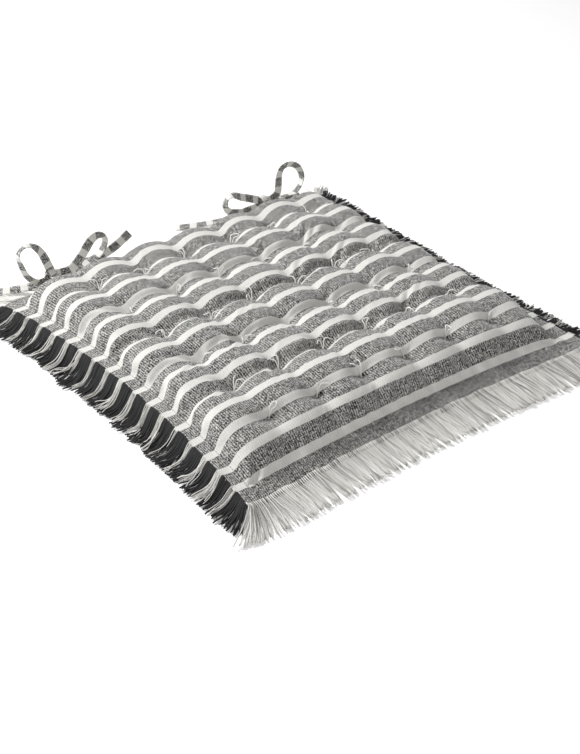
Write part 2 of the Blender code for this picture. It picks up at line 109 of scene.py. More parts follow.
half_width = CLOTH_WIDTH / 2
half_depth = CLOTH_DEPTH / 2
pitch_x = (CLOTH_WIDTH - 2 * TUFT_MARGIN_SIDES) / (TUFT_COLUMNS - 1)
pitch_y = (CLOTH_DEPTH - 2 * TUFT_MARGIN_ENDS) / (TUFT_ROWS - 1)
rng = np.random.default_rng(20)

# ---------------- camera

AZIMUTH = math.radians(-38.1)
ELEVATION = math.radians(33.2)
DISTANCE = 1.483
TARGET = Vector((-0.060, -0.076, 0.010))
LENS = 70.95

camera_data = bpy.data.cameras.new("camera")
camera = bpy.data.objects.new("camera", camera_data)
bpy.context.scene.collection.objects.link(camera)
camera_data.lens = LENS
camera_data.sensor_width = 36.0
camera_data.clip_start = 0.05
camera_data.clip_end = 50.0
towards_camera = Vector((
    math.sin(AZIMUTH) * math.cos(ELEVATION),
    -math.cos(AZIMUTH) * math.cos(ELEVATION),
    math.sin(ELEVATION),
))
camera.location = TARGET + DISTANCE * towards_camera
camera.rotation_mode = "QUATERNION"
camera.rotation_quaternion = (-towards_camera).to_track_quat("-Z", "Y")
bpy.context.scene.camera = camera

# ---------------- mesh helpers


def unit(vectors):
    return vectors / np.maximum(np.linalg.norm(vectors, axis=-1, keepdims=True), 1e-12)


def build_mesh(name, points, face_sets, uv_sets=None):
    """An object from points and arrays of faces. uv_sets maps a UV map's name to one (u, v) for each point
    or for each corner."""
    mesh = bpy.data.meshes.new(name)
    points = np.asarray(points, np.float32).reshape(-1, 3)
    face_sets = [np.asarray(f, np.int32) for f in face_sets if len(f)]
    corners = np.concatenate([f.ravel() for f in face_sets])
    sizes = np.concatenate([np.full(len(f), f.shape[1], np.int32) for f in face_sets])
    starts = np.concatenate([[0], np.cumsum(sizes)[:-1]]).astype(np.int32)
    mesh.vertices.add(len(points))
    mesh.vertices.foreach_set("co", points.ravel())
    mesh.loops.add(len(corners))
    mesh.loops.foreach_set("vertex_index", corners)
    mesh.polygons.add(len(sizes))
    mesh.polygons.foreach_set("loop_start", starts)
    for uv_name, uv in (uv_sets or {}).items():
        layer = mesh.uv_layers.new(name=uv_name)
        uv = np.asarray(uv, np.float32)
        per_corner = uv if len(uv) == len(corners) and len(uv) != len(points) else uv[corners]
        layer.data.foreach_set("uv", per_corner.ravel())
    mesh.update(calc_edges=True)
    mesh.validate()
    mesh.polygons.foreach_set("use_smooth", np.full(len(mesh.polygons), True))
    obj = bpy.data.objects.new(name, mesh)
    bpy.context.scene.collection.objects.link(obj)
    return obj


def grid_faces(rows, columns, offset=0, flip=False):
    index = offset + np.arange(rows * columns).reshape(rows, columns)
    faces = np.stack([index[:-1, :-1], index[:-1, 1:], index[1:, 1:], index[1:, :-1]], -1).reshape(-1, 4)
    return faces[:, ::-1] if flip else faces


def rim_faces(rows, columns):
    """The faces that join the edge of one grid to that of a second one, whose points follow the first's."""
    count = rows * columns
    index = np.arange(count).reshape(rows, columns)
    loop = np.concatenate([index[0, :-1], index[:-1, -1], index[-1, :0:-1], index[:0:-1, 0]])
    after = np.roll(loop, -1)
    return np.stack([loop, loop + count, after + count, after], -1)


def lengths_along(line):
    """How far each point of a line is from its start."""
    return np.concatenate([[0], np.cumsum(np.linalg.norm(np.diff(line, axis=0), axis=1))])


def tubes(centres, radii, sides, side_hint):
    """Points and faces of many closed tubes. centres is (tube, ring, 3) and radii is (tube, ring)."""
    count, rings, _ = centres.shape
    tangent = unit(np.gradient(centres, axis=1))
    hint = np.broadcast_to(np.asarray(side_hint, float), centres.shape)
    across = unit(np.cross(tangent, hint))
    other = np.cross(across, tangent)
    turn = np.arange(sides) / sides * 2 * np.pi
    ring = (
        across[:, :, None, :] * np.cos(turn)[None, None, :, None]
        + other[:, :, None, :] * np.sin(turn)[None, None, :, None]
    )
    points = centres[:, :, None, :] + ring * radii[:, :, None, None]
    index = np.arange(count * rings * sides).reshape(count, rings, sides)
    a = index[:, :-1]
    b = np.roll(a, -1, axis=2)
    c = index[:, 1:]
    d = np.roll(c, -1, axis=2)
    quads = np.stack([a, b, d, c], -1).reshape(-1, 4)
    caps = np.concatenate([index[:, 0, ::-1], index[:, -1, :]])
    return points.reshape(-1, 3), quads, caps


def tube_layout(count, rings, sides, rows):
    """A bake layout for many tubes, one (u, v) for each corner of their quads and then of their end caps."""
    columns = math.ceil(count / rows)
    tube, ring, side = np.meshgrid(np.arange(count), np.arange(rings - 1), np.arange(sides), indexing="ij")
    corners = []
    for more_side, more_ring in ((0, 0), (1, 0), (1, 1), (0, 1)):
        u = (tube % columns + 0.04 + 0.92 * (side + more_side) / sides) / columns
        v = (tube // columns + 0.01 + 0.94 * (ring + more_ring) / (rings - 1)) / rows
        corners.append(np.stack([u, v], -1))
    quads = np.stack(corners, 3).reshape(-1, 2)
    turn = np.arange(sides) / sides * 2 * np.pi
    caps = []
    for end in (0.3, 0.7):
        u = (np.arange(count)[:, None] % columns + end + 0.12 * np.cos(turn)) / columns
        v = (np.arange(count)[:, None] // columns + 0.975 + 0.012 * np.sin(turn)) / rows
        caps.append(np.stack([u, v], -1).reshape(-1, 2))
    return np.concatenate([quads, *caps])


def smooth_line(points, spacing):
    """Points about spacing apart on a Catmull-Rom curve through the given points."""
    points = [np.asarray(p, float) for p in points]
    padded = [2 * points[0] - points[1]] + points + [2 * points[-1] - points[-2]]
    line = []
    for p0, p1, p2, p3 in zip(padded, padded[1:], padded[2:], padded[3:]):
        steps = max(1, round(float(np.linalg.norm(p2 - p1)) / spacing))
        for i in range(steps):
            t = i / steps
            line.append(
                0.5 * (2 * p1 + (p2 - p0) * t + (2 * p0 - 5 * p1 + 4 * p2 - p3) * t**2
                       + (3 * p1 - p0 - 3 * p2 + p3) * t**3)
            )
    line.append(points[-1])
    return np.array(line)


# ---------------- shader helpers


class Shader:
    """A small builder for one material's nodes."""

    def __init__(self, name):
        self.material = bpy.data.materials.new(name)
        self.material.use_nodes = True
        self.tree = self.material.node_tree
        self.surface = self.tree.nodes["Principled BSDF"]

    def node(self, kind, **settings):
        made = self.tree.nodes.new(kind)
        for key, value in settings.items():
            setattr(made, key, value)
        return made

    def put(self, value, socket):
        if isinstance(value, bpy.types.NodeSocket):
            self.tree.links.new(value, socket)
        elif value is not None:
            socket.default_value = value

    def math(self, operation, a, b=None, c=None, clamp=False):
        made = self.node("ShaderNodeMath", operation=operation, use_clamp=clamp)
        for value, socket in zip((a, b, c), made.inputs):
            self.put(value, socket)
        return made.outputs[0]

    def vary(self, value, amount, onto, clamp=False):
        """onto, plus amount times how far value is from a half."""
        return self.math("MULTIPLY_ADD", self.math("SUBTRACT", value, 0.5), amount, onto, clamp)

    def part_of(self, value):
        """What is left of value above its whole number."""
        return self.math("SUBTRACT", value, self.math("FLOOR", value))

    def ramp(self, value, low, high, to_low=0.0, to_high=1.0, smooth=True):
        made = self.node("ShaderNodeMapRange", interpolation_type="SMOOTHSTEP" if smooth else "LINEAR")
        for v, socket in zip((value, low, high, to_low, to_high), made.inputs):
            self.put(v, socket)
        return made.outputs[0]

    def mix(self, share, a, b):
        made = self.node("ShaderNodeMix", data_type="RGBA")
        self.put(share, made.inputs[0])
        self.put(a, made.inputs[6])
        self.put(b, made.inputs[7])
        return made.outputs[2]

    def uv(self, name):
        made = self.node("ShaderNodeUVMap", uv_map=name)
        split = self.node("ShaderNodeSeparateXYZ")
        self.tree.links.new(made.outputs[0], split.inputs[0])
        return split.outputs[0], split.outputs[1]

    def combine(self, x, y, z=0.0):
        made = self.node("ShaderNodeCombineXYZ")
        for value, socket in zip((x, y, z), made.inputs):
            self.put(value, socket)
        return made.outputs[0]

    def place(self):
        return self.node("ShaderNodeTexCoord").outputs["Object"]

    def noise(self, vector, scale, detail=2.0, rough=0.5):
        made = self.node("ShaderNodeTexNoise")
        self.put(vector, made.inputs["Vector"])
        made.inputs["Scale"].default_value = scale
        made.inputs["Detail"].default_value = detail
        made.inputs["Roughness"].default_value = rough
        return made.outputs["Fac"]

    def speckle(self, vector):
        made = self.node("ShaderNodeTexWhiteNoise", noise_dimensions="3D")
        self.put(vector, made.inputs["Vector"])
        return made.outputs["Value"]

    def bump(self, height, distance, strength):
        made = self.node("ShaderNodeBump")
        made.inputs["Strength"].default_value = strength
        made.inputs["Distance"].default_value = distance
        self.put(height, made.inputs["Height"])
        self.tree.links.new(made.outputs[0], self.surface.inputs["Normal"])

    def finish(self, colour, roughness, sheen, sheen_roughness=0.5, specular=0.2):
        s = self.surface.inputs
        self.put(colour, s["Base Color"])
        s["Roughness"].default_value = roughness
        s["Specular IOR Level"].default_value = specular
        s["Sheen Weight"].default_value = sheen
        s["Sheen Roughness"].default_value = sheen_roughness
        return self.material


BLACK_YARN = (0.016, 0.016, 0.017, 1.0)
WHITE_YARN = (0.84, 0.83, 0.795, 1.0)


def chambray(shader, along, across, white_mask):
    """Colour and height of a woven cloth: black and white yarns in the grey bands, white in the white ones.

    along runs with the coloured yarns and across runs over them, both in metres."""
    warp = shader.math("DIVIDE", across, WARP_PITCH)
    weft = shader.math("DIVIDE", along, WEFT_PITCH)
    warp_cell = shader.math("FLOOR", warp)
    weft_cell = shader.math("FLOOR", weft)
    wobble = shader.noise(shader.combine(along, across), 420.0, 1.0)
    rib_phase = shader.vary(wobble, 2.4, weft)
    rib = shader.math("SINE", shader.math("MULTIPLY", rib_phase, math.pi))
    parity = shader.math("ABSOLUTE", shader.math("MODULO", shader.math("ADD", warp_cell, weft_cell), 2.0))
    grain = shader.speckle(shader.combine(weft_cell, warp_cell))
    fine_weft = shader.math("FLOOR", shader.math("MULTIPLY", weft, 2.0))
    fine_warp = shader.math("FLOOR", shader.math("MULTIPLY", warp, 2.0))
    fine = shader.speckle(shader.combine(fine_weft, fine_warp, 3.0))
    slub = shader.noise(shader.combine(shader.math("MULTIPLY", along, 0.22), across), 800.0, 2.0)
    blotch = shader.noise(shader.combine(along, across, 0.4), 300.0, 3.0, 0.6)
    share = shader.math("MULTIPLY_ADD", rib, 0.27, 0.25)
    share = shader.vary(parity, 0.16, share)
    share = shader.vary(grain, 0.56, share)
    share = shader.vary(fine, 0.30, share)
    share = shader.vary(blotch, 0.65, share)
    share = shader.vary(slub, 0.85, share, clamp=True)
    grey = shader.mix(share, BLACK_YARN, WHITE_YARN)
    # In the white bands the white yarns are greyed along the weave's ribs and on alternate cells: painted shade
    # of the weave's relief. grain and fine add random grey from cell to cell.
    white_band_shade_and_grain = shader.math("MULTIPLY_ADD", rib, 0.10, 0.04)
    white_band_shade_and_grain = shader.math("MULTIPLY_ADD", parity, 0.12, white_band_shade_and_grain)
    white_band_shade_and_grain = shader.math("MULTIPLY_ADD", grain, 0.16, white_band_shade_and_grain)
    white_band_shade_and_grain = shader.math("MULTIPLY_ADD", fine, 0.16, white_band_shade_and_grain, clamp=True)
    white = shader.mix(white_band_shade_and_grain, WHITE_YARN, (0.46, 0.45, 0.42, 1.0))
    colour = shader.mix(white_mask, grey, white)
    height = shader.math("MULTIPLY_ADD", parity, 0.35, shader.math("MULTIPLY", rib, 0.35))
    height = shader.math("MULTIPLY_ADD", grain, 0.3, height)
    height = shader.math("MULTIPLY_ADD", fine, 0.25, height)
    return colour, height


def make_cover_material():
    shader = Shader("striped_cotton_cloth")
    s, t = shader.uv("Cloth")
    ragged = shader.noise(shader.combine(s, t), 700.0, 1.0)
    t_edge = shader.vary(ragged, 0.0009, t)
    period = shader.math("DIVIDE", shader.math("SUBTRACT", t_edge, EDGE_STRIP), BAND_PERIOD)
    share = shader.part_of(period)
    white = shader.ramp(share, (GREY_BAND - BAND_BLUR) / BAND_PERIOD, (GREY_BAND + BAND_BLUR) / BAND_PERIOD,
                        smooth=False)
    wrap = shader.ramp(share, 0.0, 0.0004 / BAND_PERIOD, 1.0, 0.0, smooth=False)
    white = shader.math("MAXIMUM", white, wrap)
    from_middle = shader.math("ABSOLUTE", shader.math("SUBTRACT", t, half_depth))
    inside = shader.math("LESS_THAN", from_middle, half_depth - EDGE_STRIP)
    white = shader.math("MULTIPLY", white, inside)
    colour, height = chambray(shader, s, t, white)
    cloudy = shader.noise(shader.place(), 22.0, 3.0)
    colour = shader.mix(shader.ramp(cloudy, 0.35, 0.75, 0.0, 0.10), colour, (0.60, 0.58, 0.53, 1.0))
    shader.bump(height, 0.0004, 0.6)
    return shader.finish(colour, roughness=0.95, sheen=0.35, sheen_roughness=0.45, specular=0.1)


def make_tape_material():
    shader = Shader("striped_cotton_tape")
    u, v = shader.uv("Tape")
    share = shader.part_of(shader.math("DIVIDE", u, TAPE_STRIPE_PERIOD))
    white = shader.ramp(share, 0.59, 0.61, smooth=False)
    wrap = shader.ramp(share, 0.0, 0.02, 1.0, 0.0, smooth=False)
    white = shader.math("MAXIMUM", white, wrap)
    colour, height = chambray(shader, v, u, white)
    from_line = shader.math("ABSOLUTE", shader.math("SUBTRACT", v, TAPE_STITCH_LINE))
    stitch_line = shader.ramp(from_line, 0.0002, 0.0004, 1.0, 0.0)
    turn = shader.math("MULTIPLY", u, 2 * math.pi / TAPE_STITCH_PITCH)
    dash = shader.math("GREATER_THAN", shader.math("SINE", turn), -0.35)
    stitch = shader.math("MULTIPLY", stitch_line, dash)
    colour = shader.mix(shader.math("MULTIPLY", stitch, 0.8), colour, WHITE_YARN)
    height = shader.math("MULTIPLY_ADD", stitch, 0.8, height)
    shader.bump(height, 0.0004, 0.6)
    return shader.finish(colour, roughness=0.95, sheen=0.25, sheen_roughness=0.45, specular=0.1)


def make_yarn_material(name, dark, light, sheen):
    """Twisted cotton yarn. Yarn's u runs along a strand, in metres, and v once round it."""
    shader = Shader(name)
    u, v = shader.uv("Yarn")
    twist = shader.math("MULTIPLY_ADD", u, 1 / YARN_TWIST, shader.math("MULTIPLY", v, 2.0))
    ply = shader.math("ABSOLUTE", shader.math("SINE", shader.math("MULTIPLY", twist, math.pi)))
    fibres = shader.combine(shader.math("MULTIPLY", u, 30.0), shader.math("MULTIPLY", v, 4.0))
    strand = shader.noise(fibres, 3.0, 2.0)
    tone = shader.noise(shader.combine(u, 0.0), 6.0, 0.0)
    # The ply term makes each yarn darker in the grooves between its plies and lighter on their crests: painted
    # shade and highlight. strand and tone vary the colour at random.
    share = shader.math("MULTIPLY_ADD", ply, 0.30, shader.math("MULTIPLY", strand, 0.25))
    share = shader.math("MULTIPLY_ADD", shader.ramp(tone, 0.34, 0.52), 0.60, share, clamp=True)
    shader.bump(ply, 0.00025, 0.7)
    colour = shader.mix(share, dark, light)
    return shader.finish(colour, roughness=0.85, sheen=sheen, sheen_roughness=0.4, specular=0.25)


cover_material = make_cover_material()
tape_material = make_tape_material()
black_yarn = make_yarn_material(
    "black_cotton_yarn", (0.008, 0.008, 0.009, 1), (0.036, 0.036, 0.037, 1), 0.05
)
white_yarn = make_yarn_material(
    "white_cotton_yarn", (0.20, 0.195, 0.18, 1), (0.84, 0.825, 0.785, 1), 0.15
)
thread_material = make_yarn_material(
    "white_cotton_thread", (0.74, 0.72, 0.68, 1), (0.95, 0.94, 0.91, 1), 0.3
)
seam_thread_material = make_yarn_material(
    "grey_sewing_thread", (0.14, 0.14, 0.135, 1), (0.30, 0.295, 0.285, 1), 0.1
)


def make_wadding_material():
    shader = Shader("polyester_wadding")
    fibres = shader.noise(shader.place(), 400.0, 4.0, 0.7)
    colour = shader.mix(fibres, (0.80, 0.80, 0.78, 1), (0.92, 0.92, 0.90, 1))
    shader.bump(fibres, 0.001, 0.8)
    return shader.finish(colour, roughness=1.0, sheen=0.3)


# ---------------- the pad's shape


def pulled_in(x, y):
    u = x / half_width
    v = y / half_depth
    return x - EDGE_PULL_IN * u * (1 - v * v), y - EDGE_PULL_IN * v * (1 - u * u)


def flange_height(x, y):
    u = x / half_width
    v = y / half_depth
    return CORNER_HEIGHT + EDGE_LIFT * (1 - u * u * v * v)


def lying_height(x, y):
    """The height of the cloth's edge. The right and front ones have settled lower than the others."""
    u = x / half_width
    v = y / half_depth
    to_right = np.clip((x - EDGE_DROP_START) / EDGE_DROP_REACH, 0, 1)
    to_front = np.clip((-y - EDGE_DROP_START) / EDGE_DROP_REACH, 0, 1)
    past_seam = np.clip((-y - half_depth + FLANGE_WIDTH) / FLANGE_WIDTH, 0, 1)
    right = RIGHT_EDGE_DROP * to_right**1.5 * (1 - v * v) ** 0.7 * (1 + 0.35 * v)
    front = FRONT_EDGE_DROP * to_front**1.5 * (1 - u * u) ** 0.6
    tilt = FRONT_EDGE_TILT * past_seam * (1 - u * u) ** 0.3
    return flange_height(x, y) - right - front - tilt


def tape_slope(x, y):
    step = CLOTH_WIDTH / (2 * TUFT_COLUMNS)
    return (flange_height(x + step, y) - flange_height(x - step, y)) / (2 * step)


# ---------------- ties

# Each strand is how far its flat face is turned to the front, in degrees, from start to end, and its route in
# millimetres from the knot's middle.
REAR_LEFT_STRANDS = (
    (
        (65, 50, 38, 30, 26, 28, 32, 34, 34, 30, 28, 40, 60),
        ((0, 0, 2), (-7, 0, 23), (-13, 0, 35), (-20, 0, 42), (-27, 0, 45), (-35, 0, 43), (-39, 0, 36),
         (-37, 0, 26), (-33, 0, 14), (-27, 1, 4), (-18, 1, -3), (-7, 0, -4), (0, 0, -2)),
    ),
    (
        (78, 78, 78, 74, 68, 60, 45, 34, 38, 50, 60, 65, 70, 75),
        ((3, 0, 0), (12, 0, -1), (23, 0, -1), (35, 0, 7), (44, 0, 17), (52, 1, 25), (60, 2, 28),
         (68, 4, 25), (73, 5, 18), (70, 6, 8), (60, 5, 1), (42, 4, -4), (22, 3, -5), (3, 0, -3)),
    ),
    (
        (65, 65, 65, 62, 62, 66, 72, 78),
        ((3, 2, -3), (20, 6, -6), (40, 8, -5), (60, 8, -3), (74, 7, 0), (86, 6, 5), (96, 5, 11),
         (105, 4, 17)),
    ),
    (
        (60, 60, 60, 58, 56, 56),
        ((-3, 0, -3), (-14, 3, -8), (-26, 7, -9), (-38, 13, -10.5), (-50, 22, -13), (-62, 31, -15)),
    ),
)
REAR_RIGHT_STRANDS = (
    (
        (75, 72, 72, 66, 52, 34, 36, 48, 56, 60, 66, 70),
        ((-3, 0, 1), (-11, 0, 6), (-22, 0, 11), (-33, 0, 16), (-44, 1, 21), (-52, 2, 19), (-55, 2, 10),
         (-49, 1, 1), (-36, 0, -4), (-23, 0, -5), (-9, 0, -4), (-2, 0, -2)),
    ),
    (
        (60, 56, 50, 44, 40, 28, 22, 26, 32, 36, 36, 40, 46, 52, 60),
        ((3, 0, 0), (13, 0, 0), (21, 0, 5), (23, 0, 16), (24, 0, 28), (29, 0, 36), (39, 0, 38), (51, 1, 32),
         (59, 2, 20), (60, 3, 8), (54, 3, -1), (43, 3, -5), (29, 2, -5), (14, 1, -4), (3, 0, -2)),
    ),
    (
        (55, 52, 48, 46, 44, 44, 44, 44),
        ((-3, 0, -3), (-20, -1, -7), (-40, 1, -9), (-57, 6, -10), (-71, 12, -11), (-84, 19, -12.5),
         (-96, 27, -14), (-106, 34, -15.5)),
    ),
    (
        (55, 50, 46, 46, 46),
        ((3, 0, -3), (12, -3, -4.5), (24, -5, -5), (38, -5, -6), (52, -3, -7.5)),
    ),
)


# Each band of a knot: its tilt, how far its middle is from the knot's, and its radii to the front and up.
KNOT_BANDS = (
    (0.20, (-0.0012, 0, 0.0004), (0.0060, 0.0068)),
    (-0.55, (0.0026, 0.0004, -0.0004), (0.0054, 0.0060)),
    (0.75, (-0.0030, -0.0002, -0.0008), (0.0048, 0.0052)),
)
KNOT_BAND_WIDTH = 0.0085
KNOT_CORE_RADII = (0.0072, 0.0045, 0.0048)
KNOT_CORE_SIDES = 16
KNOT_CORE_RINGS = 9


def hinge_point(side):
    x = side * TIE_STATION * CLOTH_WIDTH / (2 * TUFT_COLUMNS)
    plan_x, plan_y = pulled_in(x, half_depth)
    return np.array([plan_x, plan_y + TIE_HINGE_OUTSET, flange_height(x, half_depth)])


def ribbon(name, line, widths, width=TAPE_WIDTH, start=0.0, closed=False):
    """A flat folded tape along a line. widths gives its width direction at each point."""
    tangent = np.gradient(line, axis=0)
    if closed:
        tangent[0] = tangent[-1] = line[1] - line[-2]
    tangent = unit(tangent)
    across = widths - tangent * np.sum(widths * tangent, -1, keepdims=True)
    across = unit(across)
    through = np.cross(tangent, across)
    half = width / 2
    thick = TAPE_THICKNESS / 2
    profile = np.array([
        (-1.0, 0.0), (-0.97, 0.7), (-0.7, 1.15), (-0.3, 0.8), (0.3, 0.8), (0.7, 1.15), (0.97, 0.7),
        (1.0, 0.0), (0.97, -0.7), (0.7, -1.15), (0.3, -0.8), (-0.3, -0.8), (-0.7, -1.15), (-0.97, -0.7),
    ])
    points = (
        line[:, None, :]
        + across[:, None, :] * (profile[:, 0] * half)[None, :, None]
        + through[:, None, :] * (profile[:, 1] * thick)[None, :, None]
    )
    count, sides = len(line), len(profile)
    index = np.arange(count * sides).reshape(count, sides)
    a, b = index[:-1], np.roll(index[:-1], -1, axis=1)
    c, d = index[1:], np.roll(index[1:], -1, axis=1)
    faces = [np.stack([a, b, d, c], -1).reshape(-1, 4)]
    if not closed:
        faces.append(np.stack([index[0, ::-1], index[-1]]))
    length = lengths_along(line) + start
    uv = np.stack([np.repeat(length, sides), np.tile(profile[:, 0] * half, count)], -1)
    layout = tube_layout(1, count, sides, 1)
    if closed:
        layout = layout[: 4 * (count - 1) * sides]
    points[..., 2] = np.maximum(points[..., 2], 0.0002)
    made = build_mesh(name, points, faces, {"Tape": uv, "OFBake": layout})
    made.data.materials.append(tape_material)
    return made, float(length[-1] - start)


def tie_line(side, loop, tail, drop):
    """One half of a tie: its line out of the seam, through the knot, round its loop and out as its tail."""
    centre = np.array(BOW_KNOT_OFFSET)
    start = np.array([0.0, 0.0005, drop])
    points = [start, centre * 0.5 + (0, 0, drop), centre * 0.9 + (0, 0, drop)]
    first = np.array([[1.0, 0.0, 0.0]] * 3)
    pieces = [(np.array(points), first)]
    front = np.array(towards_camera)
    for turned, strand in (loop, tail):
        strand = np.array(strand, float) / 1000 + centre
        angle = np.radians(turned)[:, None]
        flat_across = unit(np.cross(front, unit(np.gradient(strand, axis=0))))
        pieces.append((strand, front * np.cos(angle) + flat_across * np.sin(angle)))
    controls = np.concatenate([p for p, _ in pieces])
    aims = np.concatenate([unit(a) for _, a in pieces])
    for i in range(1, len(aims)):
        if np.dot(aims[i], aims[i - 1]) < 0:
            aims[i] = -aims[i]
    both = smooth_line(np.concatenate([controls, aims * 0.01], 1), TAPE_POINT_SPACING)
    return both[:, :3] + hinge_point(side), unit(both[:, 3:])


def settle_widths(line, widths):
    """Keeps the width direction from turning over between neighbouring points, and smooths it."""
    tangent = unit(np.gradient(line, axis=0))
    widths = unit(widths - tangent * np.sum(widths * tangent, -1, keepdims=True))
    for i in range(1, len(widths)):
        if np.dot(widths[i], widths[i - 1]) < 0:
            widths[i] = -widths[i]
    for _ in range(6):
        widths[1:-1] = unit(widths[:-2] + 2 * widths[1:-1] + widths[2:])
        widths = unit(widths - tangent * np.sum(widths * tangent, -1, keepdims=True))
    return widths


def knot_pieces(name, side):
    """The turns of tape that make the knot: three bands across it and a rounded core."""
    centre = hinge_point(side) + np.array(BOW_KNOT_OFFSET)
    made = []
    for i, (tilt, offset, radii) in enumerate(KNOT_BANDS):
        turn = np.linspace(0, 2 * np.pi, 33)
        local = np.stack([
            0.0006 * np.sin(turn * 2),
            radii[0] * np.cos(turn),
            radii[1] * np.sin(turn),
        ], -1)
        c, s = math.cos(tilt), math.sin(tilt)
        spin = np.array([[c, -s, 0], [s, c, 0], [0, 0, 1]])
        line = local @ spin.T + centre + np.array(offset)
        widths = np.tile(spin @ np.array([1.0, 0, 0]), (len(line), 1))
        band, _ = ribbon(f"{name}_knot_band_{i + 1}", line, widths, KNOT_BAND_WIDTH,
                         0.006 * i + 0.003, closed=True)
        made.append(band)
    turn = np.linspace(0, 2 * np.pi, KNOT_CORE_SIDES + 1)[:-1]
    rise = np.linspace(-1, 1, KNOT_CORE_RINGS + 2)
    ring = np.sqrt(np.maximum(0.0, 1 - rise**2))
    points = np.stack([
        np.outer(rise, np.ones(KNOT_CORE_SIDES)) * KNOT_CORE_RADII[0],
        np.outer(ring, np.cos(turn)) * KNOT_CORE_RADII[1],
        np.outer(ring, np.sin(turn)) * KNOT_CORE_RADII[2],
    ], -1)
    points += centre
    inner = points[1:-1].reshape(-1, 3)
    index = np.arange(KNOT_CORE_RINGS * KNOT_CORE_SIDES).reshape(KNOT_CORE_RINGS, KNOT_CORE_SIDES)
    quads = np.stack([index[:-1], np.roll(index[:-1], -1, 1), np.roll(index[1:], -1, 1), index[1:]], -1)
    uv = np.stack([inner[:, 0], inner[:, 2] - centre[2]], -1)
    caps = np.stack([index[0, ::-1], index[-1]])
    core = build_mesh(f"{name}_knot_core", inner, [quads.reshape(-1, 4), caps], {"Tape": uv})
    core.data.materials.append(tape_material)
    made.append(core)
    return made


def make_tie(side, strands, name, body):
    first_loop, second_loop, third_tail, fourth_tail = strands
    if side < 0:
        halves = (("outer", first_loop, third_tail, 0.0006), ("inner", second_loop, fourth_tail, -0.0007))
    else:
        halves = (("inner", first_loop, fourth_tail, 0.0006), ("outer", second_loop, third_tail, -0.0007))
    knots = knot_pieces(name, side)
    for part in knots:
        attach(part, body)
    for i, (label, loop, tail, drop) in enumerate(halves):
        line, widths = tie_line(side, loop, tail, drop)
        widths = settle_widths(line, widths)
        tape, length = ribbon(f"{name}_{label}_tape", line, widths, start=0.007 * i)
        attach(tape, body)
        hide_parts(name)
    x = side * TIE_STATION * CLOTH_WIDTH / (2 * TUFT_COLUMNS)
    tab_end = hinge_point(side) - (0, 0.0006, 0)
    seam_at = half_depth - FLANGE_WIDTH
    tab_start = (tab_end[0], pulled_in(x, seam_at)[1], flange_height(x, seam_at))
    tab_line = smooth_line([tab_start, tab_end], 0.003)
    slope = tape_slope(x, half_depth)
    tab, _ = ribbon(f"{name}_tab_tape", tab_line, np.tile((1.0, 0.0, slope), (len(tab_line), 1)))
    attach(tab, "pad")
    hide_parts(f"{name}_tab")


make_tie(-1, REAR_LEFT_STRANDS, "rear_left_tie", "left_tie")
make_tie(1, REAR_RIGHT_STRANDS, "rear_right_tie", "right_tie")

# ---------------- cloth

CELLS = 160
step = CLOTH_WIDTH / CELLS
flat_x, flat_y = np.meshgrid(
    np.linspace(-half_width, half_width, CELLS + 1), np.linspace(-half_depth, half_depth, CELLS + 1)
)
plan_x, plan_y = pulled_in(flat_x, flat_y)
middle = lying_height(flat_x, flat_y)
field_x = TUFT_COLUMNS / 2 * pitch_x
field_y = TUFT_ROWS / 2 * pitch_y
seam_x = half_width - FLANGE_WIDTH
seam_y = half_depth - FLANGE_WIDTH
share_x = np.clip((abs(flat_x) - field_x) / (seam_x - field_x), 0, 1)
slope_start = np.where(flat_y < 0, FRONT_SLOPE_START, field_y)
share_y = np.clip((abs(flat_y) - slope_start) / (seam_y - slope_start), 0, 1)
on_flange = (abs(flat_x) >= seam_x - 1e-6) | (abs(flat_y) >= seam_y - 1e-6)
outside_seam = np.maximum(abs(flat_x) - seam_x, abs(flat_y) - seam_y)


def nearness(offset, pitch, count):
    steps = offset / pitch + (count - 1) / 2
    inside = (steps > -0.5) & (steps < count - 0.5)
    return np.where(inside, 1 - abs(np.sin(np.pi * steps)) ** 0.85, 0.0)


across_near = nearness(flat_x, pitch_x, TUFT_COLUMNS)
along_near = nearness(flat_y, pitch_y, TUFT_ROWS)
puff = 1 - (1 - SADDLE_SHARE) * (across_near + along_near) - (2 * SADDLE_SHARE - 1) * across_near * along_near
power_x = np.where(flat_x > 0, RIGHT_SHOULDER_POWER, SHOULDER_POWER)
power_y = np.where(flat_y < 0, FRONT_SHOULDER_POWER, SHOULDER_POWER)
shoulder = (1 - share_x**2) ** power_x * (1 - share_y**2) ** power_y

tufts = []
for row in range(TUFT_ROWS):
    for column in range(TUFT_COLUMNS):
        x = (column - (TUFT_COLUMNS - 1) / 2) * pitch_x
        y = (row - (TUFT_ROWS - 1) / 2) * pitch_y
        tufts.append((row, column, x, y, *rng.normal(0, TUFT_SCATTER, 2)))


def normals_of(p):
    du = np.zeros_like(p)
    dv = np.zeros_like(p)
    du[:, 1:-1] = p[:, 2:] - p[:, :-2]
    du[:, 0] = p[:, 1] - p[:, 0]
    du[:, -1] = p[:, -1] - p[:, -2]
    dv[1:-1] = p[2:] - p[:-2]
    dv[0] = p[1] - p[0]
    dv[-1] = p[-1] - p[-2]
    return unit(np.cross(du, dv))


def ends_of(first, apart, count, every):
    """Where threads that are apart points long start and end, along one way of the grid."""
    return slice(first, count - apart, every), slice(first + apart, count, every)


def hold(q, free, a, b, rest, pull, push):
    """Moves the two ends of each thread towards its rest length: pull where stretched, push where pressed."""
    d = q[b] - q[a]
    length = np.linalg.norm(d, axis=-1, keepdims=True)
    gap = length - rest
    stiff = np.where(gap > 0, pull, push)
    wa, wb = free[a], free[b]
    move = d / np.maximum(length, 1e-9) * gap * stiff / np.maximum(wa + wb, 1e-9)
    q[a] += wa * move
    q[b] -= wb * move


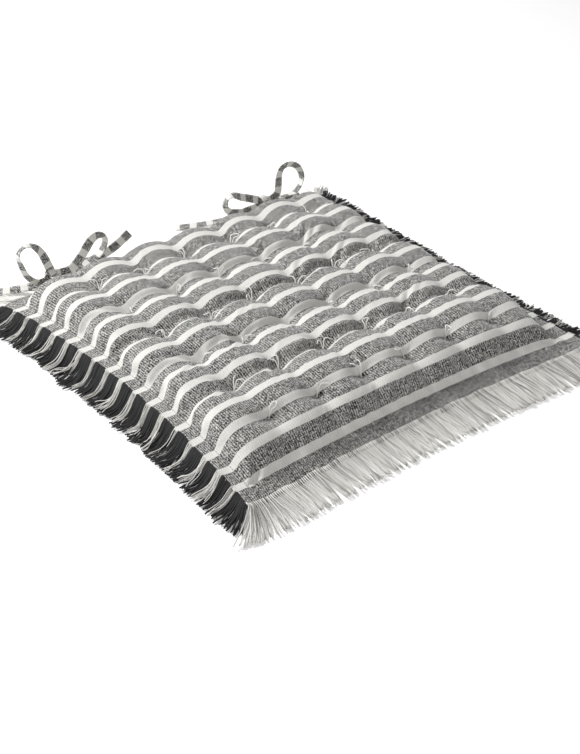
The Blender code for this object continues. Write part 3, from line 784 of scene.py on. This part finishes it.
def relax(start, fixed, extra_x, extra_y, pressure, spring, sign, floor, steps):
    """Position-based cloth: a grid of threads held at the tufts and the seam and blown out by the wadding."""
    p = start.copy()
    free = np.where(fixed, 0.0, 1.0)[..., None]
    velocity = np.zeros_like(p)
    rows, columns = fixed.shape
    everything = slice(None)
    rest_x = step * (1 + extra_x)
    rest_y = step * (1 + extra_y)
    rest_d = math.hypot(rest_x, rest_y)
    for _ in range(steps):
        normal = normals_of(p) * sign
        velocity = (velocity + normal * pressure) * 0.88 * free
        q = p + velocity
        for _ in range(5):
            for first in (0, 1):
                a, b = ends_of(first, 1, columns, 2)
                hold(q, free, (everything, a), (everything, b), rest_x, 1.0, 0.6)
                a, b = ends_of(first, 1, rows, 2)
                hold(q, free, (a, everything), (b, everything), rest_y, 1.0, 0.6)
            left, right = ends_of(0, 1, columns, 1)
            for first in (0, 1):
                a, b = ends_of(first, 1, rows, 2)
                hold(q, free, (a, left), (b, right), rest_d, 0.35, 0.12)
                hold(q, free, (a, right), (b, left), rest_d, 0.35, 0.12)
            for first in (0, 1, 2, 3):
                a, b = ends_of(first, 3, columns, 4)
                hold(q, free, (everything, a), (everything, b), rest_x * 3, 0.0, 0.25)
                a, b = ends_of(first, 3, rows, 4)
                hold(q, free, (a, everything), (b, everything), rest_y * 3, 0.0, 0.25)
        q[..., 2] += spring * (start[..., 2] - q[..., 2]) * free[..., 0]
        if floor is not None:
            q[..., 2] = np.maximum(q[..., 2], floor)
        velocity = q - p
        p = q
    return p


def cloth_surface(top):
    height = PINCHED_HEIGHT + (FULL_PUFF_HEIGHT - PINCHED_HEIGHT) * puff if top else 0.0 * puff
    gap = 0.0009 if top else -0.0009
    loss = np.where(flat_x > 0, 0.24, 0.16)
    thinner = 1 - loss * np.clip((abs(flat_x) - 0.125) / 0.065, 0, 1) if top else 1.0
    thinner = thinner * (1 - 0.13 * np.clip((flat_y - 0.11) / 0.06, 0, 1)) if top else 1.0
    z = middle + gap + (height - middle - gap) * shoulder * thinner
    points = np.stack([plan_x, plan_y, z], -1)
    points[..., 2] += rng.normal(0, 0.0002, z.shape) * ~on_flange
    fixed = on_flange.copy()
    for row, column, x, y, shift_x, shift_y in tufts:
        j = int(round((x + half_width) / step))
        i = int(round((y + half_depth) / step))
        px, py = pulled_in(x, y)
        depth = PINCHED_HEIGHT if top else TUFT_BOTTOM_HEIGHT - 0.002
        points[i, j] = (px + shift_x, py + shift_y, depth)
        fixed[i, j] = True
    if top:
        inner = 1 - np.clip(np.maximum((abs(flat_x) - 0.11) / 0.09, (abs(flat_y) - 0.12) / 0.08), 0, 1)
        pressure = 0.00004 * (0.3 + 0.7 * inner)[..., None]
        return relax(points, fixed, 0.060, 0.100, pressure, 0.16, 1.0, None, 50)
    return relax(points, fixed, 0.02, 0.02, 0.00004, 0.05, -1.0, 0.0004, 36)


def ripple(p, seed):
    """The flange isn't pressed flat: it waves a little along its length."""
    local = np.random.default_rng(seed)
    wave = np.zeros(flat_x.shape)
    for _ in range(10):
        angle = local.uniform(0, np.pi)
        k = local.uniform(60, 240)
        wave += np.sin(k * (flat_x * math.cos(angle) + flat_y * math.sin(angle)) + local.uniform(0, 7)) * 0.22
    wave *= np.clip(outside_seam / FLANGE_WIDTH, 0, 1) ** 0.8
    p[..., 2] += wave * 0.0016


top = cloth_surface(True)
bottom = cloth_surface(False)
ripple(top, 5)
ripple(bottom, 5)


def shell(name, surface, outward, nodes):
    """A cloth with a real thickness: the seen face, and the hidden one a thickness behind it."""
    normal = normals_of(surface)
    hidden = surface - normal * outward * COVER_THICKNESS
    rows, columns = flat_x.shape
    count = rows * columns
    points = np.concatenate([surface.reshape(-1, 3), hidden.reshape(-1, 3)])
    faces = grid_faces(rows, columns, 0, flip=outward < 0)
    back = grid_faces(rows, columns, count, flip=outward > 0)
    rim = rim_faces(rows, columns)
    if outward < 0:
        rim = rim[:, ::-1]
    uv = np.stack([flat_x.ravel() + half_width, flat_y.ravel() + half_depth], -1)
    place = uv / CLOTH_WIDTH
    seen = 0.005 + place * (0.945, 0.985)
    unseen = (0.965, 0.005) + place * (0.025, 0.985)
    turn = np.arange(len(rim) + 1) / len(rim) * 0.985 + 0.005
    edge = np.stack([np.stack([np.full(len(rim), u), v], -1) for u, v in (
        (0.993, turn[:-1]), (0.999, turn[:-1]), (0.999, turn[1:]), (0.993, turn[1:]))], 1)
    if outward < 0:
        edge = edge[:, ::-1]
    layout = np.concatenate([seen[faces.ravel()], unseen[back.ravel() - count], edge.reshape(-1, 2)])
    made = build_mesh(name, points, [faces, back, rim], {"Cloth": np.concatenate([uv, uv]), "OFBake": layout})
    made.data.materials.append(cover_material)
    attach(made, "pad")
    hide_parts(*nodes)


shell("top_cover_cloth", top, 1, ["top_cover"])
shell("bottom_cover_cloth", bottom, -1, ["bottom_cover"])


def shrunk(heights, reach, pick):
    """The lowest or highest of the heights round each point, out to reach cells away along both ways."""
    for axis in (0, 1):
        shifted = [np.roll(heights, k, axis) for k in range(-reach, reach + 1)]
        heights = pick(np.stack(shifted), axis=0)
    return heights


def make_wadding():
    inside = slice(9, CELLS - 8, 2)
    upper = top.copy()
    upper[..., 2] = shrunk(top[..., 2], 2, np.min) - 0.0022
    lower = bottom.copy()
    lower[..., 2] = shrunk(bottom[..., 2], 2, np.max) + 0.0014
    upper, lower = upper[inside, inside], lower[inside, inside]
    lower[..., :2] = upper[..., :2]
    middle_z = (upper[..., 2] + lower[..., 2]) / 2
    thin = upper[..., 2] - lower[..., 2] < 0.0008
    upper[..., 2] = np.where(thin, middle_z + 0.0004, upper[..., 2])
    lower[..., 2] = np.where(thin, middle_z - 0.0004, lower[..., 2])
    rows, columns = upper.shape[:2]
    made = build_mesh("wadding_fill", np.concatenate([upper.reshape(-1, 3), lower.reshape(-1, 3)]),
                      [grid_faces(rows, columns), grid_faces(rows, columns, rows * columns, flip=True),
                       rim_faces(rows, columns)])
    made.data.materials.append(make_wadding_material())
    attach(made, "pad")
    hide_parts("wadding")


make_wadding()

# ---------------- tufts


def thread_object(name, centres, radii, material, sides=6):
    points, quads, caps = tubes(np.array(centres), np.array(radii), sides, (0.31, 0.83, 0.47))
    count, rings = len(centres), len(centres[0])
    along = np.array([lengths_along(line) for line in centres])
    u = np.repeat(along.ravel(), sides)
    v = np.tile(np.arange(sides) / sides, count * rings)
    layout = tube_layout(count, rings, sides, 1 if count < 50 else 6)
    made = build_mesh(name, points, [quads, caps], {"Yarn": np.stack([u, v], -1), "OFBake": layout})
    made.data.materials.append(material)
    return made


def resample(points):
    """THREAD_POINTS points, evenly spread, on a smooth line through the given ones."""
    line = smooth_line(points, 0.0004)
    length = lengths_along(line)
    at = np.linspace(0, length[-1], THREAD_POINTS)
    return np.stack([np.interp(at, length, line[:, k]) for k in range(3)], -1)


def make_tuft(row, column, x, y, shift_x, shift_y):
    px, py = pulled_in(x, y)
    local = np.random.default_rng(100 + 10 * row + column)
    base = np.array([px + shift_x, py + shift_y, PINCHED_HEIGHT])
    foot = np.array([px + shift_x, py + shift_y, TUFT_BOTTOM_HEIGHT - 0.002])
    lines = []
    turn = np.linspace(0, 2.2 * np.pi, 13)
    knot = [0.0005 * np.cos(turn), 0.0005 * np.sin(turn), 0.0007 + 0.0008 * turn / turn[-1]]
    lines.append(resample(np.stack(knot, -1) + base))
    heading = local.uniform(0, 2 * np.pi)
    apart = local.uniform(0.5, 2.4)
    loop = local.random() < LOOPED_TUFT_SHARE
    ends = []
    for end in (0, 1):
        way = heading + end * apart
        length = local.uniform(0.009, 0.014)
        curl = local.uniform(-1.8, 1.8)
        side_step = np.array([math.cos(way), math.sin(way), 0.0])
        route = [base + (0, 0, 0.0010), base + side_step * 0.0012 + (0, 0, 0.006)]
        route.append(base + side_step * 0.0030 + (0, 0, local.uniform(0.0105, 0.0135)))
        for k in range(4):
            way += curl / 4
            climb = local.uniform(0.2, 1.1) - 0.45 * k
            direction = unit(np.array([math.cos(way), math.sin(way), climb]))
            route.append(route[-1] + direction * length / 4)
        ends.append(route)
    if loop:
        top_of_loop = (ends[0][5] + ends[1][5]) / 2 + (0, 0, 0.001)
        lines.append(resample([*ends[0][:5], top_of_loop, *ends[1][4::-1]]))
        lines.append(resample(ends[1][:4]))
    else:
        lines += [resample(route) for route in ends]
    for offset in (-TUFT_LEG_OFFSET, TUFT_LEG_OFFSET):
        half_way = (base + foot) / 2 + (offset, 0, 0)
        lines.append(resample([base + (offset, 0, 0.0010), half_way, foot + (offset, 0, -0.0006)]))
    lines.append(resample([foot + (-0.0014, 0, 0.0002), foot + (0, 0, -0.0008), foot + (0.0014, 0, 0.0002)]))
    radii = np.full((len(lines), THREAD_POINTS), TUFT_THREAD_RADIUS)
    radii[1:3, -1] *= 0.7
    made = thread_object(f"tuft_thread_row{row + 1}_col{column + 1}", lines, radii, thread_material)
    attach(made, "pad")
    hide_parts(f"tuft_row{row + 1}_col{column + 1}")


for tuft in tufts:
    make_tuft(*tuft)

# ---------------- seam stitches


def surface_point(surface, x, y):
    """A point of a cloth at a place of the flat cloth, between the grid's points."""
    u = (np.asarray(x) + half_width) / step
    v = (np.asarray(y) + half_depth) / step
    j = np.clip(np.floor(u).astype(int), 0, CELLS - 1)
    i = np.clip(np.floor(v).astype(int), 0, CELLS - 1)
    fu = (u - j)[..., None]
    fv = (v - i)[..., None]
    return (
        surface[i, j] * (1 - fu) * (1 - fv) + surface[i, j + 1] * fu * (1 - fv)
        + surface[i + 1, j] * (1 - fu) * fv + surface[i + 1, j + 1] * fu * fv
    )


def make_stitches(name, surface, sign, node):
    """Short stitches with a gap between them, all round the pad just outside the filling."""
    reach_x = seam_x + SEAM_THREAD_OUTSET
    reach_y = seam_y + SEAM_THREAD_OUTSET
    centres = []
    sides = (((-reach_x, -reach_y), (reach_x, -reach_y)), ((reach_x, -reach_y), (reach_x, reach_y)),
             ((reach_x, reach_y), (-reach_x, reach_y)), ((-reach_x, reach_y), (-reach_x, -reach_y)))
    for (x0, y0), (x1, y1) in sides:
        length = math.hypot(x1 - x0, y1 - y0)
        count = int(length / STITCH_PITCH)
        for k in range(count):
            a = (k * STITCH_PITCH + STITCH_GAP / 2) / length
            b = ((k + 1) * STITCH_PITCH - STITCH_GAP / 2) / length
            share = np.linspace(a, b, 6)
            p = surface_point(surface, x0 + (x1 - x0) * share, y0 + (y1 - y0) * share)
            p[:, 2] += np.array(STITCH_LIFT) * sign
            centres.append(p)
    radii = np.tile(STITCH_RADII, (len(centres), 1))
    made = thread_object(name, centres, radii, seam_thread_material, sides=5)
    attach(made, "pad")
    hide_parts(node)


make_stitches("seam_stitches_top", top, 1, "seam_needle_thread")
make_stitches("seam_stitches_underside", bottom, -1, "seam_bobbin_thread")

# ---------------- fringe

END_YARN_PITCH = 0.0022
SIDE_YARN_PITCH = 0.0013
RINGS = 11
LOWEST_YARN = 0.0011
FRINGE_SEEDS = {"front": 11, "rear": 12, "left": 13, "right": 14}
OUTWARD = {"front": (0.0, -1, 0), "rear": (0.0, 1, 0), "left": (-1.0, 0, 0), "right": (1.0, 0, 0)}


def band_is_white(t):
    """Whether the cloth is in a white band this far from its front edge."""
    share = ((t - EDGE_STRIP) / BAND_PERIOD) % 1.0
    return (share * BAND_PERIOD > GREY_BAND) & (t > EDGE_STRIP) & (t < CLOTH_DEPTH - EDGE_STRIP)


def make_fringe(name, node, side):
    """side is 'front', 'rear', 'left' or 'right'. Two layers of yarns, one from each cover."""
    local = np.random.default_rng(FRINGE_SEEDS[side])
    ends = side in ("front", "rear")
    length_along = CLOTH_WIDTH if ends else CLOTH_DEPTH
    reach = FRINGE_REACH_ENDS if ends else FRINGE_REACH_SIDES
    outward = np.array(OUTWARD[side])
    sideways = np.array([1.0, 0, 0]) if ends else np.array([0, 1.0, 0])
    start_inside = EDGE_STRIP if ends else 0.0008
    centres, radii, dark = [], [], []
    s = np.linspace(0, 1, RINGS)[None, :]
    for layer, surface in ((0, top), (1, bottom)):
        count = int(length_along / (END_YARN_PITCH if ends else SIDE_YARN_PITCH))
        at = (np.arange(count) + 0.35 + (0.16 if ends else 0.4) * layer) * length_along / count
        at = np.clip(at + local.normal(0, 0.00022, count), 0.0004, length_along - 0.0004)
        if ends:
            packed = np.linspace(0.0004, 0.005, 7)
            at = np.concatenate([packed, at, length_along - packed[::-1]])
            count = len(at)
        near = half_depth if ends else half_width
        sign = 1 if side in ("rear", "right") else -1
        places = [(at - length_along / 2, np.full(count, sign * (near - inset))) for inset in (start_inside, 0)]
        root, edge = (surface_point(surface, *(place if ends else place[::-1])) for place in places)
        if ends:
            white = np.ones(count, bool)
            group = np.searchsorted(np.cumsum(local.uniform(0.003, 0.008, 200)), at)
        else:
            white = band_is_white(at)
            group = np.concatenate([[0], np.cumsum(white[1:] != white[:-1])])
        groups = int(group.max()) + 1
        middle_of = np.array([at[group == g].mean() if (group == g).any() else 0 for g in range(groups)])
        off = middle_of[group] - at
        group_lean = local.normal(0, 0.07 if ends else 0.16, groups)[group]
        each_lean = local.normal(0, 0.022 if ends else 0.045, count)
        each_lean = each_lean + np.where(white, 1, 0) * local.normal(0, 0.02 if ends else 0.13, count)
        if ends:
            gather = local.uniform(0.05, 0.40, groups)[group]
        else:
            gather = np.where(white, local.uniform(0.1, 0.75, groups)[group], -0.22)
        far = abs(at - length_along / 2) - length_along / 2
        corner = np.clip((far + 0.035) / 0.035, 0, 1) ** 1.6
        corner_lean = local.uniform(0.35, 0.80, count) if ends else 0.70
        lean = group_lean + each_lean + np.sign(at - length_along / 2) * corner * corner_lean
        spread = 0.022 if ends else 0.05
        reach_here = reach * np.clip(local.normal(0.97, spread, count), 0.8, 1.06)
        reach_here = reach_here * local.normal(1.0, 0.8 * spread, groups)[group]
        run = reach_here / np.sqrt(1 + lean * lean) + start_inside
        s_edge = start_inside / run
        out = s**0.92 * run[:, None]
        beyond = np.clip((s - s_edge[:, None]) / (1 - s_edge[:, None]), 0, 1)
        rest = 0.0009 if layer else 0.0017
        drop = edge[:, 2:3] - rest
        curve = np.clip(beyond * (1.05 if ends else 1.5), 0, 1)
        fallen = 1 - (1 - curve) ** (1.7 if ends else 2.1)
        lane = beyond**1.15 * lean[:, None] * reach + beyond**0.8 * (off * gather)[:, None]
        for k, amount in ((2.5, 0.0009), (6.0, 0.0004)):
            lane = lane + amount * beyond * np.sin(k * s * 2 + local.uniform(0, 7, (count, 1)))
        line = root[:, None, :] + outward * out[:, :, None] + sideways * lane[:, :, None]
        on_cloth = np.clip(1 - (s * run[:, None]) / max(start_inside, 1e-6), 0, 1)
        line[:, :, 2] = edge[:, 2:3] + (root[:, 2:3] - edge[:, 2:3]) * on_cloth - drop * fallen
        line[:, :, 2] += 0.0005 if layer == 0 else -0.0004
        high = local.uniform(0, 0.0020, count) + local.uniform(0, 0.0016, groups)[group]
        high = high + white * (not ends) * 0.0016
        line[:, :, 2] += high[:, None] * 2.2 * beyond * (1.25 - beyond)
        line[:, :, 2] = np.maximum(line[:, :, 2], LOWEST_YARN)
        width = np.where(white, 0.00062 if ends else 0.00044, 0.00080)[:, None]
        width = width * local.uniform(0.85, 1.15, (count, 1)) * np.ones((1, RINGS))
        width[:, -1] *= 0.85
        keep = ends | ~white | (local.random(count) < 0.62)
        centres.append(line[keep])
        radii.append(width[keep])
        dark.append(~white[keep])
    centres = np.concatenate(centres)
    radii = np.concatenate(radii)
    dark = np.concatenate(dark)
    sides = 5
    points, quads, caps = tubes(centres, radii, sides, sideways * 0.9 + np.array([0.05, 0.05, 0.1]))
    total = len(centres)
    along = np.cumsum(np.linalg.norm(np.diff(centres, axis=1, prepend=centres[:, :1]), axis=2), axis=1)
    along = along + local.uniform(0, 9.0, (total, 1))
    uv = np.stack([np.repeat(along.ravel(), sides), np.tile(np.arange(sides) / sides, total * RINGS)], -1)
    layout = tube_layout(total, RINGS, sides, 4)
    made = build_mesh(name, points, [quads, caps], {"Yarn": uv, "OFBake": layout})
    made.data.materials.append(white_yarn)
    made.data.materials.append(black_yarn)
    each = np.arange(total)
    face_yarn = np.concatenate([np.repeat(each, (RINGS - 1) * sides), each, each])
    made.data.polygons.foreach_set("material_index", dark[face_yarn].astype(np.int32))
    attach(made, "pad")
    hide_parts(node)


make_fringe("fringe_front_yarns", "fringe_front", "front")
make_fringe("fringe_rear_yarns", "fringe_rear", "rear")
make_fringe("fringe_left_yarns", "fringe_left", "left")
make_fringe("fringe_right_yarns", "fringe_right", "right")

# ---------------- stage and light


def make_floor():
    floor = build_mesh("floor", [(-6, -6, -0.0002), (6, -6, -0.0002), (6, 6, -0.0002), (-6, 6, -0.0002)],
                       [np.array([[0, 1, 2, 3]])])
    material = bpy.data.materials.new("pale_floor")
    material.use_nodes = True
    tree = material.node_tree
    shader = tree.nodes["Principled BSDF"]
    shader.inputs["Base Color"].default_value = (0.93, 0.93, 0.93, 1)
    shader.inputs["Roughness"].default_value = 0.9
    shader.inputs["Specular IOR Level"].default_value = 0.0
    shader.inputs["Emission Color"].default_value = (1, 1, 1, 1)
    shader.inputs["Emission Strength"].default_value = 0.18
    behind = tree.nodes.new("ShaderNodeNewGeometry")
    clear = tree.nodes.new("ShaderNodeBsdfTransparent")
    mixed = tree.nodes.new("ShaderNodeMixShader")
    tree.links.new(behind.outputs["Backfacing"], mixed.inputs[0])
    tree.links.new(shader.outputs[0], mixed.inputs[1])
    tree.links.new(clear.outputs[0], mixed.inputs[2])
    tree.links.new(mixed.outputs[0], tree.nodes["Material Output"].inputs[0])
    floor.data.materials.append(material)
    floor.visible_shadow = False


def area_light(name, place, size, power):
    data = bpy.data.lights.new(name, "AREA")
    data.shape = "DISK"
    data.size = size
    data.energy = power
    light = bpy.data.objects.new(name, data)
    bpy.context.scene.collection.objects.link(light)
    light.location = place
    light.rotation_mode = "QUATERNION"
    light.rotation_quaternion = (Vector((0, 0, 0)) - Vector(place)).to_track_quat("-Z", "Y")


make_floor()
area_light("key", (-1.0, 1.5, 1.6), 0.8, 66)
area_light("fill", (-0.8, -1.6, 1.1), 2.0, 9)
world = bpy.data.worlds.new("studio")
world.use_nodes = True
world.node_tree.nodes["Background"].inputs[0].default_value = (1, 1, 1, 1)
world.node_tree.nodes["Background"].inputs[1].default_value = 0.33
bpy.context.scene.world = world
bpy.context.scene.view_settings.view_transform = "Standard"
